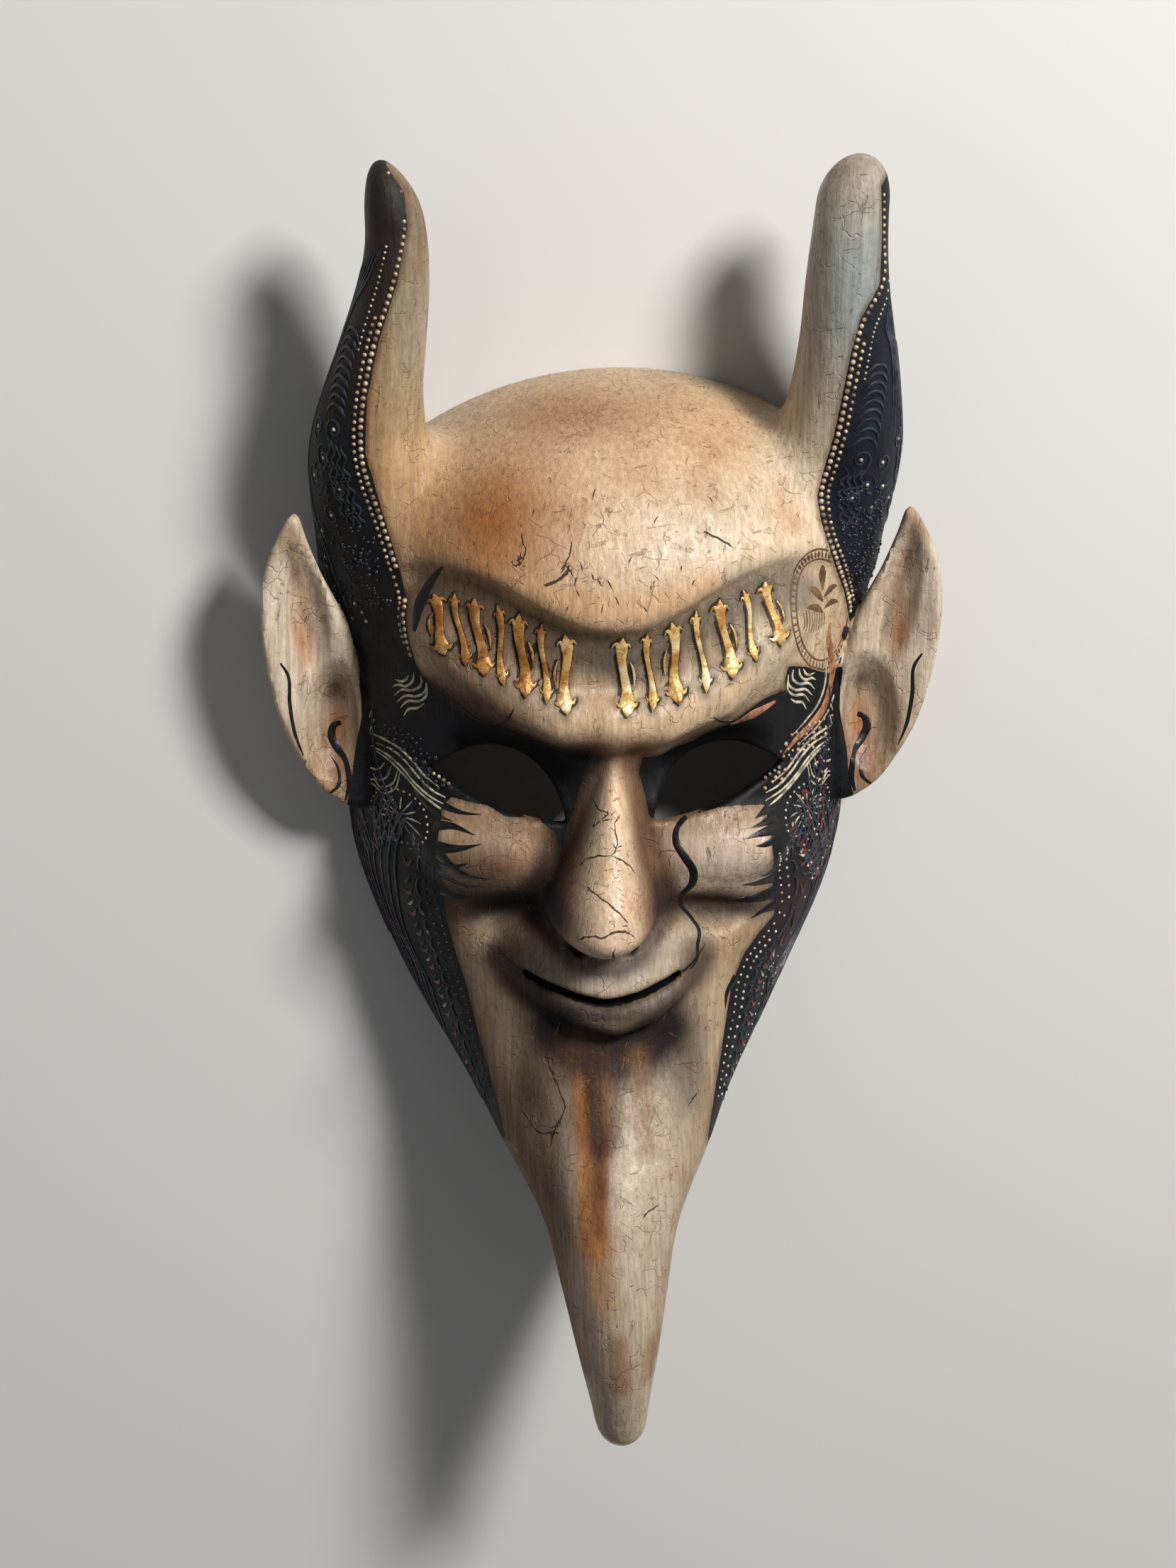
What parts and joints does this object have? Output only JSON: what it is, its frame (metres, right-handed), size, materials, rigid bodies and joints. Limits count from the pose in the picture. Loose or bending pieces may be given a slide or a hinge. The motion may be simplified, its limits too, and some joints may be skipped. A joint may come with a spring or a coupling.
{
  "type": "devil mask",
  "caption": "Full-face papier-mache devil mask with horns, pointed ears, heavy brow and a long pointed chin; hollow behind, worn or hung by its open rim.",
  "frame": {"origin": "centre of the bounding box in plan, on the plane of the rim that the mask lies on", "axes": "+Y from the chin to the horns, +Z out of the face, +X to the viewer's right when the horns are up"},
  "size_m": [0.235, 0.4432, 0.101],
  "materials": {
    "painted_papier_mache": "cream, blue-black and gold paint under an aged, crackled satin varnish; bare grey-brown paper behind"
  },
  "bodies": {
    "root": {"mask_shell": "painted_papier_mache"}
  },
  "joints": []
}
